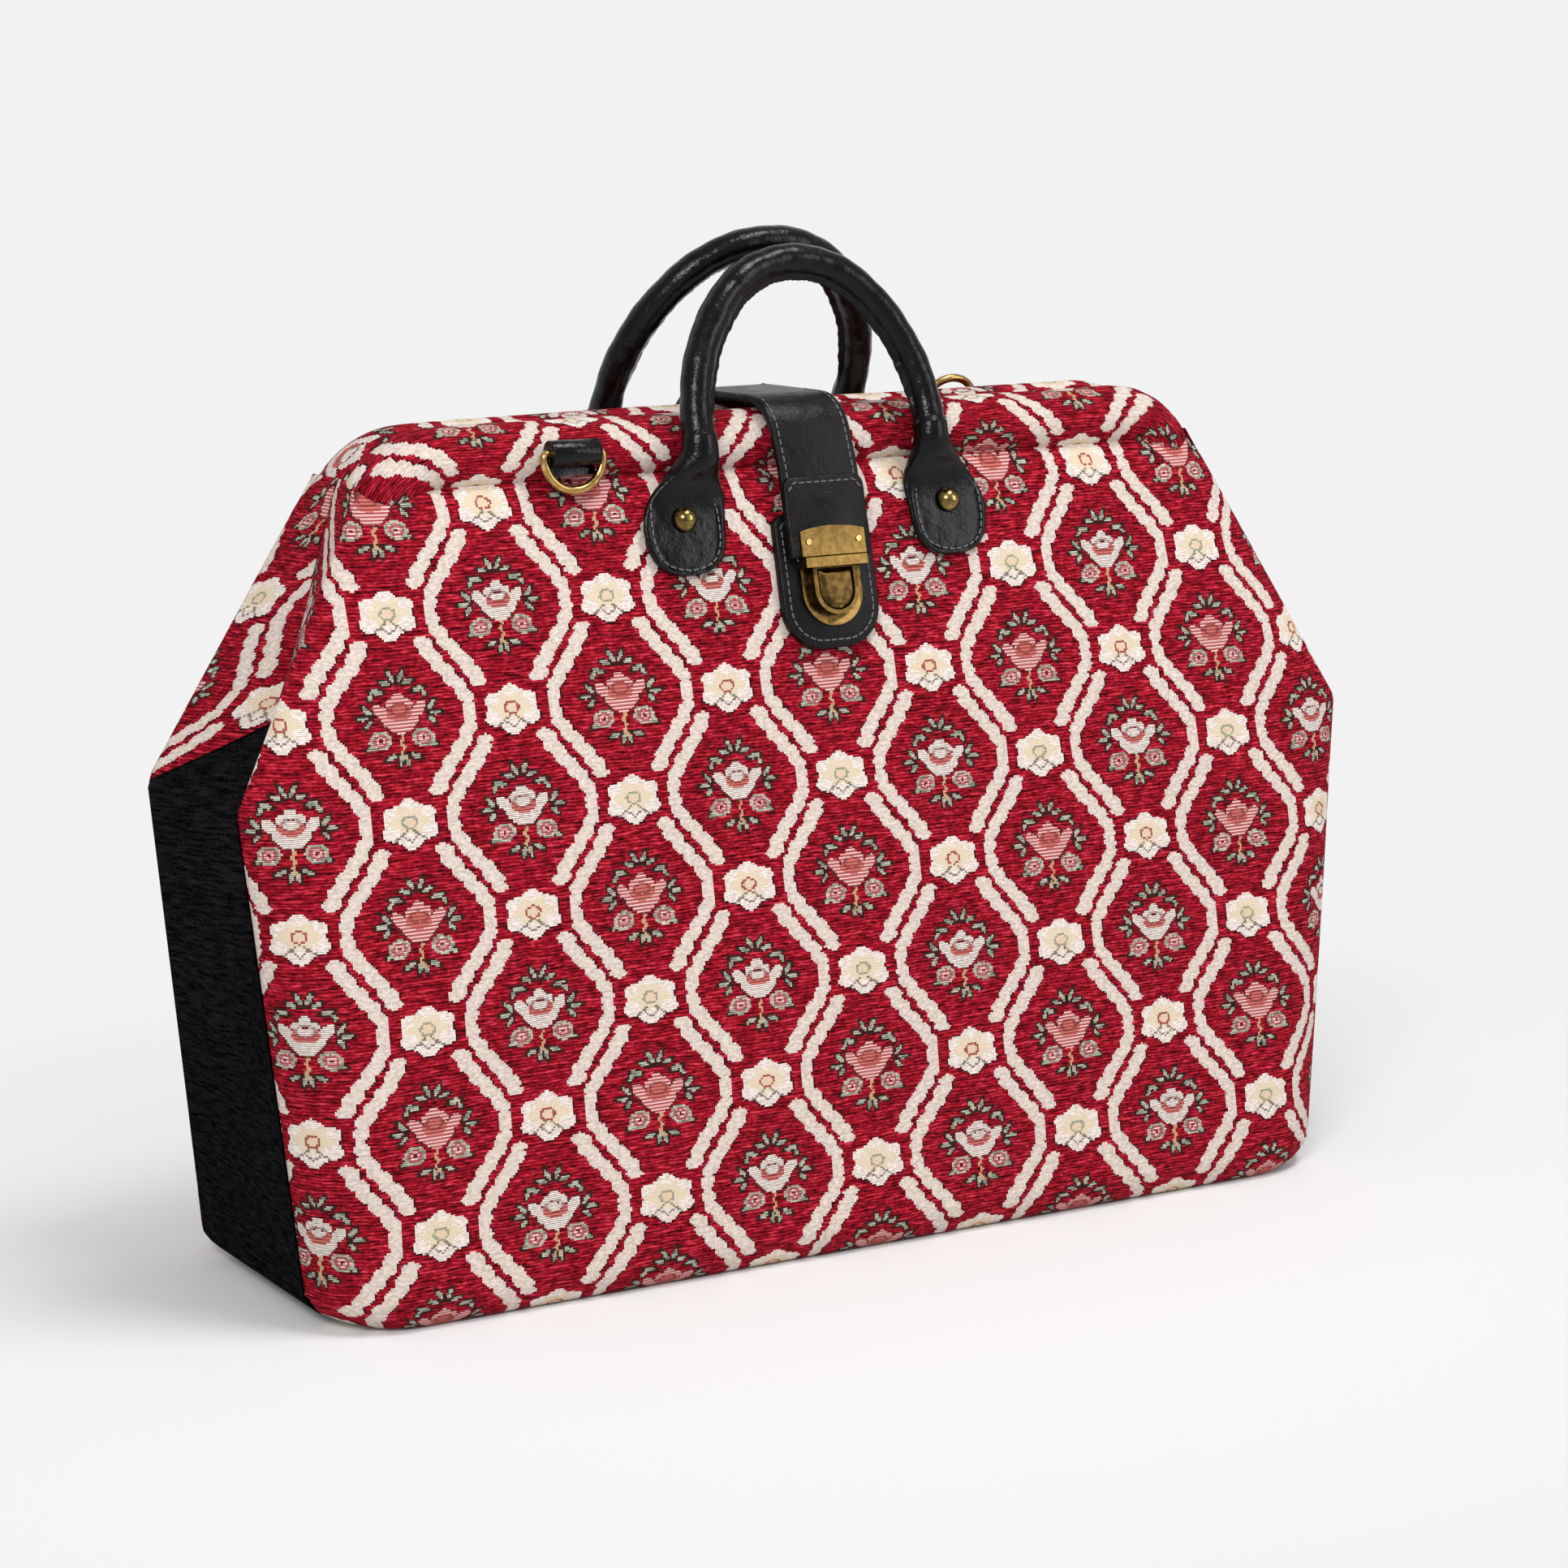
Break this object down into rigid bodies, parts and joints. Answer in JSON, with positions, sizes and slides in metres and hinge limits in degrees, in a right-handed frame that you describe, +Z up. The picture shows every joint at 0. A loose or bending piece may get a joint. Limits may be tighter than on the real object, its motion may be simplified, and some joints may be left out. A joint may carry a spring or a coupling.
{
  "type": "framed laptop bag",
  "caption": "Wide laptop bag in woven tapestry with folding side gussets, a steel-framed mouth, rolled leather handles, D-rings and a push-lock strap.",
  "frame": {"origin": "middle of the base, on the surface the bag stands on", "axes": "+X across the bag's width, -Y towards its front with the lock, +Z up"},
  "size_m": [0.426, 0.1324, 0.3418],
  "materials": {
    "tapestry": "woven chenille tapestry, rough",
    "gusset": "black short-pile cloth",
    "leather": "glossy black leather",
    "brass": "antique brass, polished on the edges",
    "gold_wire": "polished gold-coloured wire",
    "lining": "plain dark lining cloth",
    "padding": "soft foam filling",
    "steel": "plain sprung steel",
    "board": "stiff board",
    "cord": "twisted filler cord"
  },
  "bodies": {
    "root": {"body_panel": "tapestry", "left_gusset": "gusset", "right_gusset": "gusset", "lining": "lining", "base_board": "board", "laptop_sleeve": "lining", "slip_pocket": "lining"},
    "front_half": {"front_frame": "steel", "left_hinge_pin": "steel", "right_hinge_pin": "steel", "front_frame_padding": "padding", "front_mouth_panel": "tapestry", "front_mouth_lining": "lining", "front_handle_tab_left": "leather", "front_handle_tab_right": "leather", "front_handle_rivets": "brass", "d_ring_loop_front": "leather", "lock_patch": "leather", "lock_base": "brass"},
    "back_half": {"back_frame": "steel", "back_frame_padding": "padding", "back_mouth_panel": "tapestry", "back_mouth_lining": "lining", "back_handle_tab_left": "leather", "back_handle_tab_right": "leather", "back_handle_rivets": "brass", "d_ring_loop_back": "leather", "strap_anchor": "leather"},
    "strap_body": {"closing_strap": "leather", "strap_end_patch": "leather", "hasp_plate": "brass", "hasp_rivets": "brass"},
    "button_body": {"lock_button": "brass"},
    "front_handle_body": {"front_handle": "leather", "front_handle_core": "cord"},
    "back_handle_body": {"back_handle": "leather", "back_handle_core": "cord"},
    "d_ring_front_body": {"d_ring_front": "gold_wire"},
    "d_ring_back_body": {"d_ring_back": "gold_wire"}
  },
  "joints": [
    {"name": "mouth_front", "type": "hinge", "parent": "root", "child": "front_half", "pos_m": [0, 0, 0.168], "axis": [1, 0, 0], "range_deg": [0, 20], "deforming": ["front_mouth_panel", "front_mouth_lining"]},
    {"name": "mouth_back", "type": "hinge", "parent": "root", "child": "back_half", "pos_m": [0, 0, 0.168], "axis": [-1, 0, 0], "range_deg": [0, 20], "deforming": ["back_mouth_panel", "back_mouth_lining"]},
    {"name": "strap_flip", "type": "hinge", "parent": "back_half", "child": "strap_body", "pos_m": [0, 0.008, 0.2855], "axis": [-1, 0, 0], "range_deg": [0, 80], "deforming": ["closing_strap", "strap_end_patch"]},
    {"name": "lock_button", "type": "slide", "parent": "front_half", "child": "button_body", "axis": [0, 0.9703, -0.2419], "range_m": [0, 0.0015], "stiffness_N_per_m": 400, "springref_m": -0.001},
    {"name": "front_handle", "type": "hinge", "parent": "front_half", "child": "front_handle_body", "pos_m": [0, -0.0326, 0.2715], "axis": [1, 0, 0], "range_deg": [0, 95]},
    {"name": "back_handle", "type": "hinge", "parent": "back_half", "child": "back_handle_body", "pos_m": [0, 0.0326, 0.2715], "axis": [-1, 0, 0], "range_deg": [0, 95]},
    {"name": "d_ring_front", "type": "hinge", "parent": "front_half", "child": "d_ring_front_body", "pos_m": [-0.09, -0.0297, 0.2728], "axis": [-1, 0, 0], "range_deg": [0, 120]},
    {"name": "d_ring_back", "type": "hinge", "parent": "back_half", "child": "d_ring_back_body", "pos_m": [0.09, 0.0297, 0.2728], "axis": [-1, 0, 0], "range_deg": [0, 190]}
  ],
  "couplings": [
    {"joint": "mouth_back", "follows": "mouth_front", "ratio": 1},
    {"joint": "strap_flip", "follows": "mouth_front", "ratio": 4}
  ]
}
